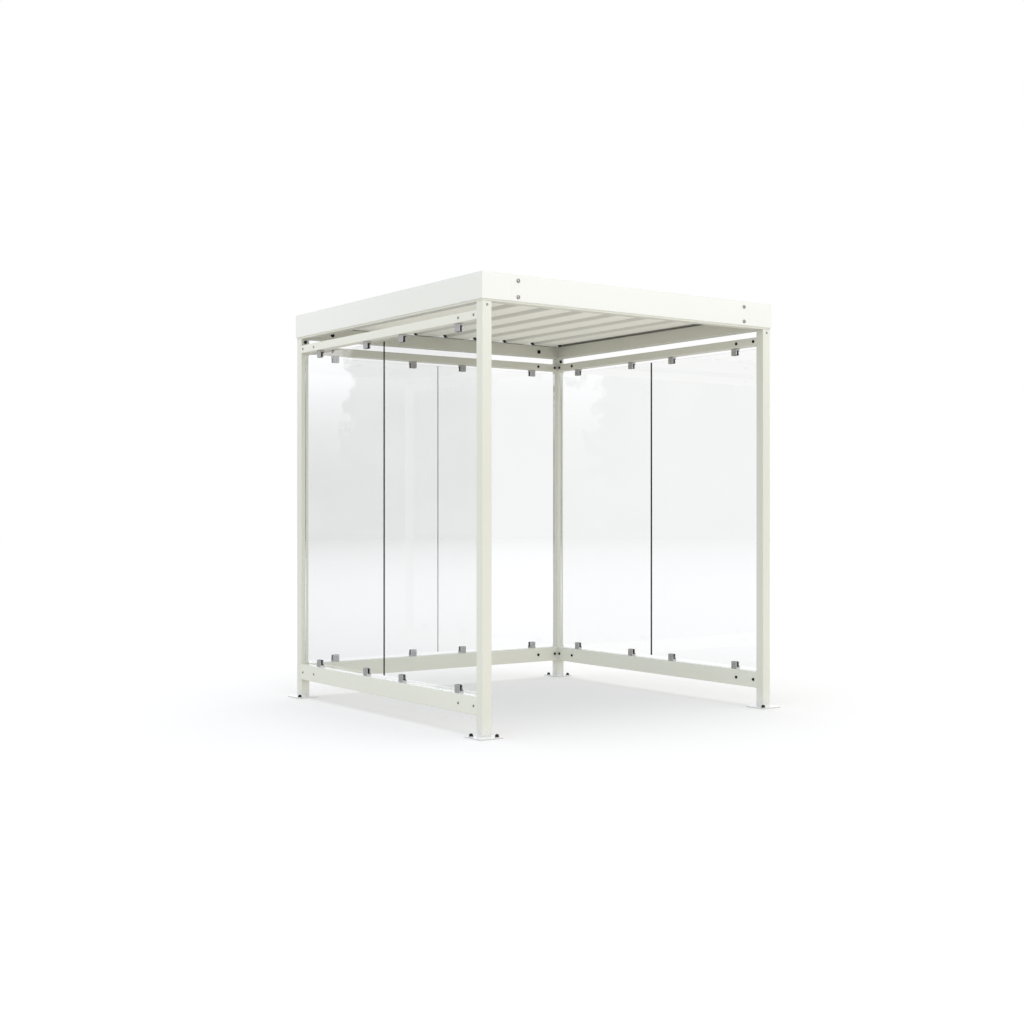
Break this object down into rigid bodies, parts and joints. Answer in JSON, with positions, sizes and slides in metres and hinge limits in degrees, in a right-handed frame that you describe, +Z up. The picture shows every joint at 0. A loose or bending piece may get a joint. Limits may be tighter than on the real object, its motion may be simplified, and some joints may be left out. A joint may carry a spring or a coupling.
{
  "type": "smoking shelter",
  "caption": "Free-standing square smoking shelter: steel posts on base plates, clamped glass on three sides, open front, ribbed roof sheet inside a folded fascia.",
  "frame": {"origin": "on the floor at the middle of the four base plates", "axes": "+Z up, the open front faces -Y, +X to the right seen from the shelter's middle looking to the rear"},
  "size_m": [2.25, 2.25, 2.5],
  "materials": {
    "frame_paint": "off-white powder coat, satin",
    "plate_paint": "off-white powder coat, satin",
    "fascia_paint": "off-white powder coat, satin",
    "sheet_paint": "off-white coil coat, satin",
    "pane_glass": "clear toughened glass, polished edges",
    "clamp_metal": "satin grey",
    "clamp_rubber": "matt black"
  },
  "bodies": {
    "root": {"post_front_left": "frame_paint", "post_front_right": "frame_paint", "post_rear_left": "frame_paint", "post_rear_right": "frame_paint", "base_plate_front_left": "plate_paint", "base_plate_front_right": "plate_paint", "base_plate_rear_left": "plate_paint", "base_plate_rear_right": "plate_paint", "low_rail_left": "frame_paint", "low_rail_rear": "frame_paint", "low_rail_right": "frame_paint", "high_rail_left": "frame_paint", "high_rail_rear": "frame_paint", "high_rail_right": "frame_paint", "glass_left_front": "pane_glass", "glass_left_rear": "pane_glass", "glass_rear_left": "pane_glass", "glass_rear_right": "pane_glass", "glass_right_front": "pane_glass", "glass_right_rear": "pane_glass", "low_clamps_left": "clamp_metal", "low_clamps_rear": "clamp_metal", "low_clamps_right": "clamp_metal", "high_clamps_left": "clamp_metal", "high_clamps_rear": "clamp_metal", "high_clamps_right": "clamp_metal", "clamp_rubbers_left": "clamp_rubber", "clamp_rubbers_rear": "clamp_rubber", "clamp_rubbers_right": "clamp_rubber", "roof_beam_front": "frame_paint", "roof_beam_rear": "frame_paint", "roof_beam_left": "frame_paint", "roof_beam_right": "frame_paint", "roof_spigots": "frame_paint", "roof_sheet": "sheet_paint", "fascia_front": "fascia_paint", "fascia_rear": "fascia_paint", "fascia_left": "fascia_paint", "fascia_right": "fascia_paint"}
  },
  "joints": []
}
